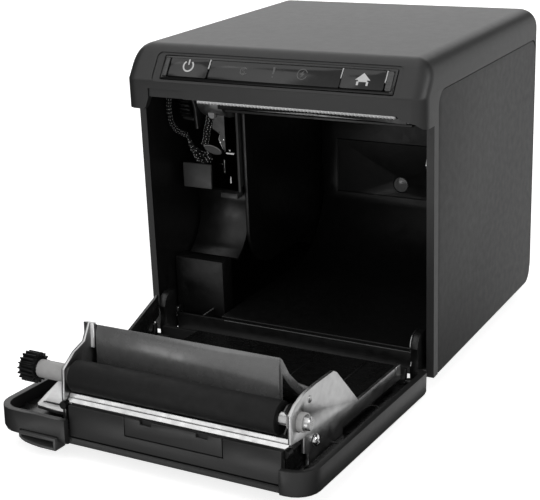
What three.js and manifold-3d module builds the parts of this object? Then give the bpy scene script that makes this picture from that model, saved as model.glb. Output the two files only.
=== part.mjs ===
// Receipt printer for 80 mm paper rolls, with its front door open. Millimetres, +Z up, front towards -Y.
import * as THREE from "three";
import { mergeVertices } from "three/addons/utils/BufferGeometryUtils.js";
import Module from "manifold-3d";

const wasm = await Module();
wasm.setup();

// ---------- Driving dimensions ----------
const GAP = 0.3; // clearance kept between pieces that touch
const PLAY = 0.5; // clearance round pieces that move
const ARC_STEPS = 3; // steps in each eighth of a turn

const FOOT_HEIGHT = 5;
const BODY_WIDTH = 127;
const BODY_TOP = 128;
const BODY_BACK = 123;
const WALL = 3;
const TOP_RADIUS = 8;
const REAR_RADIUS = 5;
const HEEL_RADIUS = 9; // lower rear corner, in side view

const HALF = BODY_WIDTH / 2;
const INSIDE = HALF - WALL;
const CEILING = BODY_TOP - WALL;
const BASE_Z = FOOT_HEIGHT + GAP;
const BASE_TOP = BASE_Z + 2.4;

// The header is the fascia over the door; its upper face slopes back and carries the controls.
const HEADER_FRONT = -9.7;
const HEADER_BOTTOM = 103.5;
const HEADER_WALL = 2.6;
const HEADER_RADIUS = 5.5;
const MOUTH_TOP = 108.5;
const SLOPE_Z = 115;
const SLOPE_ANGLE = THREE.MathUtils.degToRad(35); // back from upright
const SLOPE_TOP_Z = 124.8;

// Controls, from left to right along the slope, and up it.
const PANEL = { left: -47.4, right: 51.4, bottom: 1, top: 11.5, rim: 1.1, depth: 1.1 };
const POWER_KEY = { left: -43.8, right: -26.4 };
const WINDOW = { left: -26, right: 29.6 };
const FEED_KEY = { left: 30, right: 47.1 };
const KEY_TRAVEL = 0.8;
const KEY_PROUD = 0.35;

// The paper path is right of centre; the gears run in the space at its left.
const PATH = { left: -33.5, right: 52.4 };

// Door, with places given for the closed door. It turns about an axis along X.
const HINGE = { y: -6.5, z: 4 };
const OPEN_ANGLE = THREE.MathUtils.degToRad(87.13);
const DOOR = { front: HEADER_FRONT, rim: -0.4, bottom: 3, top: 103, wall: 2.4, radius: 9 };
const DOOR_FLOOR = DOOR.front + DOOR.wall;
const EXIT_STEP = { left: -32, right: 52.5, z: 100.5 };
const PLATEAU = { left: -34.4, right: 52.5, y: 2.4, top: 97.4 };

const WING = { outer: INSIDE - 0.4, inner: INSIDE - 1.6 };
const KNUCKLE = { outer: 2.2, pin: 0.95, left: 55.3, right: 58.4 };

const PLATEN = { y: 12.3, z: 91.5, radius: 5.7, left: -34.1, right: 47.8, shaft: 2.4 };
const ARM_THICKNESS = 1.2;
const LEFT_ARM_X = -36.6;
const RIGHT_ARM_X = 53.4;
const BUSH = { bore: PLATEN.shaft + 0.35, outer: 3.3, sleeve: 13 };

const GEAR_MODULE = 0.565;
const PLATEN_TEETH = 18;
const IDLER_TEETH = 22;
const PINION_TEETH = 12;
const GEAR_LEFT = -56.2;
const GEAR_WIDTH = 6;

const LEVER = { left: -51.4, right: -35.4, front: -11.9, back: -7.4, bottom: 98.6, top: 104.2, wall: 1 };
const LEVER_PIN = { y: -8.5, z: 99.6, radius: 0.5, length: 1.2 };

const BUCKET = { right: INSIDE - GAP, back: 104, wall: 1.5, front: 5, top: 97 };
const SENSOR = { x: 6, z: 47.7, radius: 3.4 };

// ---------- Materials ----------
function finish(color, roughness, metalness = 0) {
  return new THREE.MeshStandardMaterial({ color, roughness, metalness });
}
const CASE_BLACK = finish(0x2b2b2e, 0.62);
const PANEL_BLACK = finish(0x202022, 0.68);
const DOOR_BLACK = finish(0x161617, 0.45);
const INNER_BLACK = finish(0x0c0c0d, 0.35);
const GLOSS_BLACK = finish(0x050506, 0.08);
const CAP_GREY = finish(0x2d2d2f, 0.5);
const RUBBER = finish(0x151515, 0.85);
const LEVER_GREY = finish(0x6a6a6c, 0.5);
const GEAR_BLACK = finish(0x121213, 0.5);
const BUSH_GREY = finish(0xb9b9b4, 0.5);
const STEEL = finish(0xb8b8ba, 0.3, 1);
const ALUMINIUM = finish(0xa5a7aa, 0.4, 1);
const BOARD_GREEN = finish(0x12502f, 0.55);
const CERAMIC = finish(0xd8d4c8, 0.4);
const BRAID = finish(0x77777a, 0.8);
const LENS = finish(0x8a8f96, 0.2);

// ---------- Solids ----------
function solid(geometry) {
  const bare = geometry.clone();
  bare.deleteAttribute("normal");
  bare.deleteAttribute("uv");
  const merged = mergeVertices(bare, 1e-4);
  return new wasm.Manifold(
    new wasm.Mesh({
      numProp: 3,
      vertProperties: merged.attributes.position.array,
      triVerts: new Uint32Array(merged.index.array),
    }),
  );
}

function geometryOf(body) {
  const mesh = body.getMesh();
  const geometry = new THREE.BufferGeometry();
  geometry.setAttribute("position", new THREE.BufferAttribute(mesh.vertProperties, 3));
  geometry.setIndex(new THREE.BufferAttribute(mesh.triVerts, 1));
  geometry.computeVertexNormals();
  return geometry;
}

function combine(method, first, others) {
  return geometryOf(others.reduce((body, other) => body[method](solid(other)), solid(first)));
}
const cut = (first, ...others) => combine("subtract", first, others);
const join = (first, ...others) => combine("add", first, others);
const common = (first, ...others) => combine("intersect", first, others);

function box(x, y, z) {
  const size = [x, y, z].map(([low, high]) => high - low);
  const middle = [x, y, z].map(([low, high]) => (low + high) / 2);
  return new THREE.BoxGeometry(...size).translate(...middle);
}

// A prism along X, Y or Z of an outline in the other two axes, in alphabetical order.
function prism(axis, shape, [low, high], bevel = 0) {
  const options = { depth: high - low - 2 * bevel, curveSegments: ARC_STEPS, bevelEnabled: bevel > 0 };
  if (bevel > 0) {
    const size = { bevelSize: bevel, bevelThickness: bevel, bevelOffset: -bevel };
    Object.assign(options, size, { bevelSegments: 2 });
  }
  const geometry = new THREE.ExtrudeGeometry(shape, options);
  if (axis === "z") return geometry.translate(0, 0, low + bevel);
  if (axis === "y") return geometry.rotateX(Math.PI / 2).translate(0, high - bevel, 0);
  const turn = new THREE.Matrix4().set(0, 0, 1, low + bevel, 1, 0, 0, 0, 0, 1, 0, 0, 0, 0, 0, 1);
  return geometry.applyMatrix4(turn);
}

const outline = (points) => new THREE.Shape(points.map(([u, v]) => new THREE.Vector2(u, v)));

// A rectangle with its own radius at each corner, from the lower left anticlockwise.
function roundedRectangle([left, right], [bottom, top], [lowerLeft, lowerRight, upperRight, upperLeft]) {
  const shape = new THREE.Shape();
  const corners = [
    [left + lowerLeft, bottom + lowerLeft, lowerLeft, Math.PI],
    [right - lowerRight, bottom + lowerRight, lowerRight, 1.5 * Math.PI],
    [right - upperRight, top - upperRight, upperRight, 0],
    [left + upperLeft, top - upperLeft, upperLeft, 0.5 * Math.PI],
  ];
  shape.moveTo(left, bottom + lowerLeft);
  for (const [u, v, radius, start] of corners) {
    if (radius > 0) shape.absarc(u, v, radius, start, start + Math.PI / 2);
    else shape.lineTo(u, v);
  }
  return shape;
}

function rod(axis, [u, v], radius, span, sides = 24) {
  const shape = outline(
    Array.from({ length: sides }, (_, i) => {
      const angle = (2 * Math.PI * i) / sides;
      return [u + radius * Math.cos(angle), v + radius * Math.sin(angle)];
    }),
  );
  return prism(axis, shape, span);
}

function ring(axis, centre, outer, inner, span, sides = 24) {
  const [low, high] = span;
  return cut(rod(axis, centre, outer, span, sides), rod(axis, centre, inner, [low - 1, high + 1], sides));
}

const pitchRadius = (teeth) => (GEAR_MODULE * teeth) / 2;
const tipRadius = (teeth) => (GEAR_MODULE * (teeth + 2)) / 2;

// A spur gear about the X axis, at the origin, with a tooth pointing along `phase`.
function spurGear(teeth, phase, bore, span) {
  const points = [];
  const root = pitchRadius(teeth) - 1.2 * GEAR_MODULE;
  const step = (2 * Math.PI) / teeth;
  const profile = [
    [-0.27, root],
    [-0.1, tipRadius(teeth) - 0.05],
    [0.1, tipRadius(teeth) - 0.05],
    [0.27, root],
  ];
  for (let i = 0; i < teeth; i++) {
    for (const [share, radius] of profile) {
      const angle = phase + (i + share) * step;
      points.push([radius * Math.cos(angle), radius * Math.sin(angle)]);
    }
  }
  const [low, high] = span;
  return cut(prism("x", outline(points), span), rod("x", [0, 0], bore, [low - 1, high + 1]));
}

function tube(curve, radius, steps, sides = 8) {
  const section = outline(
    Array.from({ length: sides }, (_, i) => {
      const angle = (2 * Math.PI * i) / sides;
      return [radius * Math.cos(angle), radius * Math.sin(angle)];
    }),
  );
  return new THREE.ExtrudeGeometry(section, { steps, extrudePath: curve, bevelEnabled: false });
}

class Helix extends THREE.Curve {
  constructor(radius, height, turns) {
    super();
    Object.assign(this, { radius, height, turns });
  }
  getPoint(t, target = new THREE.Vector3()) {
    const angle = 2 * Math.PI * this.turns * t;
    return target.set(this.radius * Math.cos(angle), this.radius * Math.sin(angle), this.height * t);
  }
}

// ---------- Scene graph ----------
const printer = new THREE.Group();
const panelGroup = new THREE.Group();
panelGroup.position.set(0, HEADER_FRONT, SLOPE_Z);
panelGroup.rotation.x = -SLOPE_ANGLE;
const doorGroup = new THREE.Group();
doorGroup.position.set(0, HINGE.y, HINGE.z);
doorGroup.rotation.x = OPEN_ANGLE;
const closedDoor = new THREE.Group();
closedDoor.position.set(0, -HINGE.y, -HINGE.z);
doorGroup.add(closedDoor);
printer.add(panelGroup, doorGroup);

function piece(name, geometry, material, parent = printer, place = [0, 0, 0]) {
  const mesh = new THREE.Mesh(geometry, material);
  mesh.name = name;
  mesh.position.set(...place);
  parent.add(mesh);
  return mesh;
}

// The same solid as a tool for cutting another piece: moved from the panel's frame to the body's.
function fromPanel(geometry) {
  return geometry.rotateX(-SLOPE_ANGLE).translate(0, HEADER_FRONT, SLOPE_Z);
}

// ---------- Casing ----------
// Side view of the whole casing or of its hollow, `inset` inside it.
function sideProfile(inset, wall) {
  const shape = new THREE.Shape();
  const back = BODY_BACK - inset;
  const top = BODY_TOP - inset;
  const lean = wall / Math.cos(SLOPE_ANGLE);
  const slopeAt = (z) => HEADER_FRONT + lean + (z - SLOPE_Z) * Math.tan(SLOPE_ANGLE);
  const kneeZ = SLOPE_Z - (lean - wall) / Math.tan(SLOPE_ANGLE);
  const crest = slopeAt(top);
  const low = inset > 0 ? 0 : FOOT_HEIGHT;
  shape.moveTo(HEADER_FRONT + wall, low);
  shape.lineTo(HEADER_FRONT + wall, kneeZ);
  shape.lineTo(slopeAt(SLOPE_TOP_Z - inset), SLOPE_TOP_Z - inset);
  shape.quadraticCurveTo(crest, top, crest + 3.5, top);
  const radius = Math.max(REAR_RADIUS - inset, 1);
  shape.lineTo(back - radius, top);
  shape.absarc(back - radius, top - radius, radius, Math.PI / 2, 0, true);
  if (inset > 0) shape.lineTo(back, low);
  else shape.absarc(back - HEEL_RADIUS, FOOT_HEIGHT + HEEL_RADIUS, HEEL_RADIUS, 0, -Math.PI / 2, true);
  return shape;
}

const sideWallPanel = { front: 4.2, back: BODY_BACK - 4.2, top: 115.6, bottom: FOOT_HEIGHT, radius: 6 };
const SIDE_RECESS = 1.9;

function sidePanelShape(inset) {
  const { front, back, top, bottom, radius } = sideWallPanel;
  const corners = [1, radius, radius - inset, radius - inset];
  return roundedRectangle([front + inset, back - inset], [bottom, top - inset], corners);
}

// The opening under the header, wider at the lower ends.
function mouthProfile() {
  return outline([
    [-HALF - 1, 0],
    [HALF + 1, 0],
    [HALF + 1, HEADER_BOTTOM],
    [HALF - 1.2, HEADER_BOTTOM + 0.6],
    [HALF - 3.5, HEADER_BOTTOM + 2.4],
    [HALF - 7, HEADER_BOTTOM + 3.2],
    [HALF - 9.3, MOUTH_TOP - 1],
    [HALF - 10.5, MOUTH_TOP],
    [-HALF + 11.2, MOUTH_TOP],
    [-HALF + 9.6, HEADER_BOTTOM + 1],
    [-HALF + 8.6, HEADER_BOTTOM],
    [-HALF - 1, HEADER_BOTTOM],
  ]);
}

function topCover() {
  const radii = [0, 0, TOP_RADIUS, TOP_RADIUS];
  const across = roundedRectangle([-HALF, HALF], [FOOT_HEIGHT, BODY_TOP], radii);
  const plan = roundedRectangle(
    [-HALF, HALF],
    [HEADER_FRONT, BODY_BACK],
    [HEADER_RADIUS, HEADER_RADIUS, REAR_RADIUS, REAR_RADIUS],
  );
  const whole = common(
    prism("y", across, [HEADER_FRONT - 1, BODY_BACK + 1]),
    prism("z", plan, [FOOT_HEIGHT - 1, BODY_TOP + 1]),
    prism("x", sideProfile(0, 0), [-HALF - 1, HALF + 1]),
  );
  const inner = TOP_RADIUS - WALL;
  const hollowAcross = roundedRectangle([-INSIDE, INSIDE], [0, CEILING], [0, 0, inner, inner]);
  const hollow = common(
    prism("y", hollowAcross, [HEADER_FRONT, BODY_BACK + 20]),
    prism("x", sideProfile(WALL, HEADER_WALL), [-HALF, HALF]),
  );
  const rearOpening = prism(
    "y",
    roundedRectangle([-INSIDE, INSIDE], [0, CEILING], [0, 0, inner, inner]),
    [BODY_BACK - 4, BODY_BACK + 1],
  );
  const mouth = prism("y", mouthProfile(), [HEADER_FRONT - 1, 0]);
  const { left, right, bottom, top, rim, depth } = PANEL;
  const seat = fromPanel(box([left, right], [-1, depth], [bottom, top]));
  const opening = fromPanel(box([left + rim, right - rim], [0, 6], [bottom + rim, top - rim]));
  const leverNotch = box([LEVER.left - 1.1, LEVER.right - 0.8], [HEADER_FRONT - 1, -8.9], [0, 111.9]);
  const recess = (side) => {
    const span = side < 0 ? [-HALF - 1, -HALF + SIDE_RECESS] : [HALF - SIDE_RECESS, HALF + 1];
    const { front, back, bottom: low } = sideWallPanel;
    const below = prism("x", roundedRectangle([front, back - 6], [low - 2, low + 2], [0, 0, 0, 0]), span);
    return join(prism("x", sidePanelShape(0), span), below);
  };
  return cut(whole, hollow, rearOpening, mouth, seat, opening, leverNotch, recess(-1), recess(1));
}

function sidePanel(side) {
  const outer = HALF - 0.25;
  const inner = HALF - SIDE_RECESS + GAP;
  return prism("x", sidePanelShape(0.4), side < 0 ? [-outer, -inner] : [inner, outer]);
}

const PORTS = {
  power_inlet: { x: [34, 46], z: [17, 28] },
  usb_port: { x: [14, 27], z: [17, 29] },
  lan_port: { x: [-12, 4], z: [17, 31] },
};

function rearCover() {
  const reach = INSIDE - GAP;
  const plate = prism(
    "y",
    roundedRectangle([-reach, reach], [FOOT_HEIGHT + 6.4, CEILING - GAP], [0.5, 0.5, 4.7, 4.7]),
    [BODY_BACK - 3, BODY_BACK - 0.6],
  );
  const holes = Object.values(PORTS).map(({ x, z }) =>
    box([x[0] - 0.5, x[1] + 0.5], [BODY_BACK - 5, BODY_BACK + 1], [z[0] - 0.5, z[1] + 0.5]),
  );
  const vents = [];
  for (let i = 0; i < 7; i++) {
    const x = -24 + 8 * i;
    vents.push(box([x - 1.2, x + 1.2], [BODY_BACK - 5, BODY_BACK + 1], [84, 100]));
  }
  return cut(plate, ...holes, ...vents);
}

function port({ x, z }) {
  const [left, right] = x;
  const [bottom, top] = z;
  const shell = box(x, [112.2, BODY_BACK - 0.9], z);
  const mouth = box([left + 1.2, right - 1.2], [BODY_BACK - 8, BODY_BACK], [bottom + 1.2, top - 1.2]);
  return cut(shell, mouth);
}

// The bottom, turned up at the rear to follow the casing's round heel, with a sill along the front.
function basePlate() {
  const thickness = BASE_TOP - BASE_Z;
  const radius = HEEL_RADIUS - GAP;
  const heel = [BODY_BACK - HEEL_RADIUS, FOOT_HEIGHT + HEEL_RADIUS];
  const turn = THREE.MathUtils.degToRad(-28);
  const shape = new THREE.Shape();
  shape.moveTo(5, BASE_TOP);
  shape.lineTo(5, BASE_Z);
  shape.absarc(...heel, radius, -Math.PI / 2, turn);
  shape.absarc(...heel, radius - thickness, turn, -Math.PI / 2, true);
  const plate = prism("x", shape, [-INSIDE + GAP, INSIDE - GAP]);
  const width = [-KNUCKLE.left + 1, KNUCKLE.left - 1];
  const sill = box(width, [3.4, 4.7], [BASE_Z, 12.6]);
  const wingSlot = box([-WING.outer - 1, -WING.inner + 0.4], [0, 12.4], [BASE_Z - 1, BASE_TOP + 1]);
  return cut(join(plate, sill, box(width, [3.4, 8], [BASE_Z, BASE_TOP])), wingSlot);
}

function casing() {
  piece("top_cover", topCover(), CASE_BLACK);
  piece("side_panel_left", sidePanel(-1), PANEL_BLACK);
  piece("side_panel_right", sidePanel(1), PANEL_BLACK);
  piece("rear_cover", rearCover(), PANEL_BLACK);
  piece("base_plate", basePlate(), PANEL_BLACK);
  for (const [depth, y] of [["front", 16], ["rear", 108]]) {
    for (const [side, x] of [["left", -48], ["right", 48]]) {
      const pad = roundedRectangle([-7, 7], [-6, 6], [3, 3, 3, 3]);
      piece(`foot_${depth}_${side}`, prism("z", pad, [0, FOOT_HEIGHT]), RUBBER, printer, [x, y, 0]);
    }
  }
}

// ---------- Controls ----------
// A key or window in the panel's frame: X across, Y into the body, Z up the slope.
function panelBlock(span, [proud, back]) {
  const height = [PANEL.bottom + 1.5, PANEL.top - 1.5];
  return prism("y", roundedRectangle(span, height, [0.6, 0.6, 0.6, 0.6]), [-proud, back]);
}

function controls() {
  const { left, right, bottom, top, depth } = PANEL;
  const plate = box([left + GAP, right - GAP], [0, depth - GAP], [bottom + GAP, top - GAP]);
  const hole = (span) => box([span[0] - 0.15, span[1] + 0.15], [-1, 3], [bottom + 1.3, top - 1.3]);
  const caps = { left: [left + 1.4, POWER_KEY.left - 0.6], right: [FEED_KEY.right + 0.6, right - 1.4] };
  const row = [POWER_KEY.left - 0.25, FEED_KEY.right + 0.25];
  piece("control_bezel", cut(plate, hole(row), hole(caps.left), hole(caps.right)), GLOSS_BLACK, panelGroup);
  piece("end_cap_left", panelBlock(caps.left, [KEY_PROUD, depth - GAP]), CAP_GREY, panelGroup);
  piece("end_cap_right", panelBlock(caps.right, [KEY_PROUD, depth - GAP]), CAP_GREY, panelGroup);
  piece("indicator_window", panelBlock([WINDOW.left, WINDOW.right], [0.1, 2]), GLOSS_BLACK, panelGroup);
  for (const [name, key] of [["power_button", POWER_KEY], ["feed_button", FEED_KEY]]) {
    piece(name, panelBlock([key.left, key.right], [KEY_PROUD, 3.2]), GLOSS_BLACK, panelGroup);
  }
  const boardFront = 3.2 + KEY_TRAVEL + GAP;
  const board = box([left + 3, right - 3], [boardFront, boardFront + 1.4], [bottom + 1, top - 1]);
  piece("control_board", board, BOARD_GREEN, panelGroup);
}

// ---------- Print mechanism in the header ----------
const FRAME = { left: -35.6, right: 54.4, front: 11.4, back: 46, bottom: 100.6, top: 120 };

function mechanismFrame() {
  const { left, right, front, back, bottom, top } = FRAME;
  const roof = box([left, right], [front, back], [top - 1.2, top]);
  const cheek = outline([
    [front + 1, bottom + 6],
    [front + 7, bottom],
    [back - 6, bottom],
    [back, bottom + 8],
    [back, top - 0.5],
    [front + 1, top - 0.5],
  ]);
  const leftCheek = prism("x", cheek, [left, left + 1.2]);
  const rightCheek = prism("x", cheek, [right - 1.2, right]);
  return join(roof, leftCheek, rightCheek);
}

function tearBar() {
  const teeth = 56;
  const [low, high] = [-31.8, 51.8];
  const pitch = (high - low) / teeth;
  const points = [[high, -3.6], [low, -3.6]];
  for (let i = 0; i < teeth; i++) {
    points.push([low + pitch * i, -7.2], [low + pitch * (i + 0.5), -8.2]);
  }
  points.push([high, -7.2]);
  return prism("z", outline(points.reverse()), [106.9, 108.1]);
}

function cutterBlade() {
  const middle = (PATH.left + PATH.right) / 2;
  const edge = outline([
    [PATH.left + 2.5, 101.6],
    [middle, 102.8],
    [PATH.right - 2.5, 101.6],
    [PATH.right - 2.5, 113],
    [PATH.left + 2.5, 113],
  ]);
  return prism("y", edge, [6.6, 7.4]);
}

function cutterHousing() {
  const block = box([PATH.left + 0.6, PATH.right - 0.6], [2.6, 10.8], [109.4, 118.4]);
  const slot = box([PATH.left + 2, PATH.right - 2], [6.2, 7.8], [108, 115]);
  return cut(block, slot);
}

function mechanism() {
  piece("mechanism_frame", mechanismFrame(), STEEL);
  piece("tear_bar", tearBar(), STEEL);
  piece("cutter_housing", cutterHousing(), GEAR_BLACK);
  piece("cutter_blade", cutterBlade(), STEEL);
  piece("thermal_head", box([-31, 50], [12, 25], [99.3, 100.3]), CERAMIC);
  const sink = box([-32, 51], [12, 28], [100.6, 104.5]);
  const grooves = [16, 20, 24].map((y) => box([-40, 60], [y, y + 1.6], [102.4, 106]));
  piece("head_heat_sink", cut(sink, ...grooves), ALUMINIUM);
  for (const [side, x] of [["left", -14], ["right", 34]]) {
    const coil = tube(new Helix(2.4, FRAME.top - 1.2 - 104.5 - 2 * 0.75, 5), 0.45, 60, 6);
    piece(`head_spring_${side}`, coil, STEEL, printer, [x, 26.4 - 4, 104.5 + 0.75]);
  }
  piece("cutter_motor", rod("x", [37, 110.5], 6, [8, 40]), ALUMINIUM);
}

// ---------- Feed drive at the left ----------
const idlerCentre = new THREE.Vector2(1, 0)
  .rotateAround(new THREE.Vector2(), THREE.MathUtils.degToRad(34))
  .multiplyScalar(tipRadius(PLATEN_TEETH) + tipRadius(IDLER_TEETH) + GAP)
  .add(new THREE.Vector2(PLATEN.y, PLATEN.z));
const PINION_DIRECTION = THREE.MathUtils.degToRad(38);
const pinionCentre = new THREE.Vector2(Math.cos(PINION_DIRECTION), Math.sin(PINION_DIRECTION))
  .multiplyScalar(pitchRadius(IDLER_TEETH) + pitchRadius(PINION_TEETH) + 0.12)
  .add(idlerCentre);

function feedDrive() {
  const gearSpan = [0, GEAR_WIDTH - 1.4];
  const idlerPlace = [GEAR_LEFT + 0.6, idlerCentre.x, idlerCentre.y];
  const idler = spurGear(IDLER_TEETH, PINION_DIRECTION, 1.5 + GAP, gearSpan);
  piece("idler_gear", idler, GEAR_BLACK, printer, idlerPlace);
  const facing = PINION_DIRECTION + Math.PI + Math.PI / PINION_TEETH;
  const pinionPlace = [GEAR_LEFT + 0.6, pinionCentre.x, pinionCentre.y];
  piece("motor_pinion", spurGear(PINION_TEETH, facing, 1 + GAP, gearSpan), STEEL, printer, pinionPlace);
  const plateX = GEAR_LEFT + GEAR_WIDTH;
  const plateShape = outline([[20, 89], [50, 100], [50, 121], [15, 121], [15, 107], [19, 98]]);
  const plate = cut(
    prism("x", plateShape, [plateX, plateX + 1.2]),
    rod("x", pinionCentre.toArray(), 2.5, [plateX - 1, plateX + 3]),
  );
  const stud = rod("x", idlerCentre.toArray(), 1.5, [GEAR_LEFT - 0.4, plateX + 0.5]);
  piece("gear_side_plate", join(plate, stud), STEEL);
  const motor = join(
    rod("x", pinionCentre.toArray(), 12, [plateX + 1.5, plateX + 12.5]),
    rod("x", pinionCentre.toArray(), 1, [GEAR_LEFT + 0.2, plateX + 2]),
  );
  piece("feed_motor", motor, ALUMINIUM);
}

// ---------- Inside of the casing ----------
function rollBucket() {
  const { right, back, wall, front, top } = BUCKET;
  const floorTop = 13.4;
  const sweep = 34;
  const sheet = (inset) => {
    const shape = new THREE.Shape();
    shape.moveTo(front + inset, floorTop + 40);
    shape.lineTo(front + inset, floorTop - wall + inset);
    shape.absarc(back + wall - sweep, floorTop - wall + sweep, sweep - inset, 1.5 * Math.PI, 2 * Math.PI);
    shape.lineTo(back + wall - inset, 200);
    shape.lineTo(front + inset, 200);
    return shape;
  };
  const outer = prism("x", sheet(0), [PATH.left, right]);
  const inner = prism("x", sheet(wall), [PATH.left - 1, right - wall]);
  const open = box([-70, 70], [0, front + wall + 1], [floorTop, 210]);
  const trimmed = cut(outer, inner, open, box([-80, 80], [0, 200], [top, 300]));
  const hole = rod("y", [SENSOR.x, SENSOR.z], SENSOR.radius + GAP, [back - 5, back + 10]);
  const frontClear = box([-80, 80], [0, 32], [floorTop + 12, 300]);
  const panelGroove = box([-26, 44], [back - 0.5, back + 0.4], [31, 67]);
  return cut(trimmed, hole, frontClear, panelGroove);
}

function rollPartition() {
  const plate = roundedRectangle([32.5, BUCKET.back - GAP], [24, 96], [18, 1, 3, 3]);
  return prism("x", plate, [PATH.left - 1.8, PATH.left - GAP]);
}

// A wall over the drive, hollowed to the paper roll's curve.
function driveCover() {
  const centre = [15.2, 50.1];
  const [inner, outer] = [20, 21.4];
  const [low, high] = [-62, 27].map(THREE.MathUtils.degToRad);
  const shape = new THREE.Shape();
  shape.absarc(...centre, outer, low, high);
  shape.absarc(...centre, inner, high, low, true);
  return prism("x", shape, [-59.8, -35.6]);
}

function headBracket() {
  const upright = box([-37, -36.1], [30, 34], [62, 98]);
  const face = box([-37, -35.8], [30, 31.5], [60, 98]);
  const foot = box([-44, -35.8], [27, 31.5], [58, 60.2]);
  return join(upright, face, foot);
}

function latchSpring() {
  const path = [[9.2, 98], [9.2, 92.5], [6, 87], [7.8, 83.5]];
  const back = path.map(([y, z]) => [y + 0.8, z - 0.1]).reverse();
  return prism("x", outline([...path, ...back]), [57.4, INSIDE - GAP]);
}

function wireHarness() {
  const route = new THREE.CatmullRomCurve3([
    new THREE.Vector3(-58.8, 12.4, 98),
    new THREE.Vector3(-58.8, 12.6, 91),
    new THREE.Vector3(-57.6, 15, 83.6),
    new THREE.Vector3(-53.4, 19.4, 79),
    new THREE.Vector3(-48.4, 22.4, 78.6),
    new THREE.Vector3(-45.6, 24, 82),
    new THREE.Vector3(-44.6, 24.6, 88),
  ]);
  return tube(route, 1.5, 22, 8);
}

function inside() {
  piece("roll_bucket", rollBucket(), INNER_BLACK);
  piece("roll_partition", rollPartition(), INNER_BLACK);
  piece("drive_cover", driveCover(), INNER_BLACK);
  piece("head_bracket", headBracket(), CAP_GREY);
  const cover = box([-59.8, -36.5], [13, 20.4], [9, 34]);
  piece("gear_cover_box", cut(cover, box([-57.8, -38.5], [15, 28], [11, 32])), INNER_BLACK);
  piece("latch_plate", box([-57.5, -44], [20, 21.2], [63.4, 74]), CAP_GREY);
  piece("latch_spring_right", latchSpring(), STEEL);
  piece("wire_harness", wireHarness(), BRAID);
  const lens = join(
    rod("y", [SENSOR.x, SENSOR.z], SENSOR.radius, [BUCKET.back + 0.3, BUCKET.back + 4]),
    rod("y", [SENSOR.x, SENSOR.z], SENSOR.radius + 1.5, [BUCKET.back + 2.2, BUCKET.back + 4]),
  );
  piece("paper_sensor", lens, LENS);
  piece("main_board", box([-54, 54], [110.2, 111.8], [11, 62]), BOARD_GREEN);
  for (const [name, place] of Object.entries(PORTS)) piece(name, port(place), GLOSS_BLACK);
}

// ---------- Hinges ----------

function hingeArm(side) {
  const { outer, pin, left, right } = KNUCKLE;
  const span = side < 0 ? [-right, -left] : [left, right];
  const wide = [span[0] - 1, span[1] + 1];
  const centre = [HINGE.y, HINGE.z];
  const post = new THREE.Shape();
  post.moveTo(HINGE.y, HINGE.z - 1.1);
  post.lineTo(4.4, HINGE.z - 0.6);
  post.lineTo(4.4, 22.4);
  post.lineTo(0.8, 22.6);
  post.quadraticCurveTo(-3.6, 21.6, -4, 17.4);
  post.quadraticCurveTo(-2, 13, -4, 9);
  post.lineTo(-4, HINGE.z + 1.1);
  post.lineTo(HINGE.y, HINGE.z + 1.1);
  const body = join(rod("x", centre, outer, span), prism("x", post, span));
  return cut(body, rod("x", centre, pin + GAP, wide));
}

function hinges() {
  const { pin, left, right } = KNUCKLE;
  for (const [name, side] of [["left", -1], ["right", 1]]) {
    piece(`hinge_arm_${name}`, hingeArm(side), INNER_BLACK);
    const span = side < 0 ? [-right - 0.8, -left + 3.2] : [left - 3.2, right + 0.8];
    piece(`hinge_pin_${name}`, rod("x", [HINGE.y, HINGE.z], pin, span, 16), STEEL, closedDoor);
  }
}

// ---------- Door ----------
function doorShell() {
  const { front, rim, bottom, top, wall, radius } = DOOR;
  const face = roundedRectangle([-HALF, HALF], [bottom, top], [2.5, 2.5, radius, radius]);
  const bevel = 1.8;
  const block = prism("y", face, [front, rim + 3 * bevel], bevel);
  const inner = radius - wall;
  const hollowFace = roundedRectangle(
    [-HALF + wall, HALF - wall],
    [bottom + wall, top - wall],
    [0.6, 0.6, inner, inner],
  );
  const hollow = prism("y", hollowFace, [front + wall, rim + 20]);
  const above = box([-80, 80], [rim, 30], [-10, 120]);
  const step = box([EXIT_STEP.left, EXIT_STEP.right], [front - 1, 10], [EXIT_STEP.z, 120]);
  const lipSlot = box([EXIT_STEP.left, EXIT_STEP.right], [DOOR_FLOOR, 10], [97.6, 120]);
  const leverSlot = box(
    [LEVER.left - PLAY, LEVER.right + PLAY],
    [front - 1, LEVER.back + PLAY],
    [LEVER.bottom - PLAY, top + 1],
  );
  const leverPinHole = rod(
    "x",
    [LEVER_PIN.y, LEVER_PIN.z],
    LEVER_PIN.radius + GAP,
    [LEVER.left - LEVER_PIN.length - GAP, LEVER.right + LEVER_PIN.length + GAP],
    12,
  );
  const knuckles = [-1, 1].map((side) => {
    const span = side < 0
      ? [-KNUCKLE.right - PLAY, -KNUCKLE.left + PLAY]
      : [KNUCKLE.left - PLAY, KNUCKLE.right + PLAY];
    const relief = box(span, [HINGE.y, 10], [-5, bottom + wall + 1]);
    const pocket = rod("x", [HINGE.y, HINGE.z], KNUCKLE.outer + 0.3, span);
    return join(relief, pocket);
  });
  const pinHoles = [-1, 1].map((side) => {
    const span = side < 0 ? [-61, -51] : [51, 61];
    return rod("x", [HINGE.y, HINGE.z], KNUCKLE.pin + GAP, span, 16);
  });
  const pinBosses = [-1, 1].map((side) => {
    const ends = [side * (KNUCKLE.left - 3.6), side * (KNUCKLE.left - PLAY)];
    const width = [Math.min(...ends), Math.max(...ends)];
    return box(width, [front + 1, HINGE.y + 2.4], [bottom + 0.5, HINGE.z + 3]);
  });
  const shell = cut(block, hollow, above, step, lipSlot, leverSlot, leverPinHole);
  return cut(join(shell, ...pinBosses), ...knuckles, ...pinHoles);
}

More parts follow.
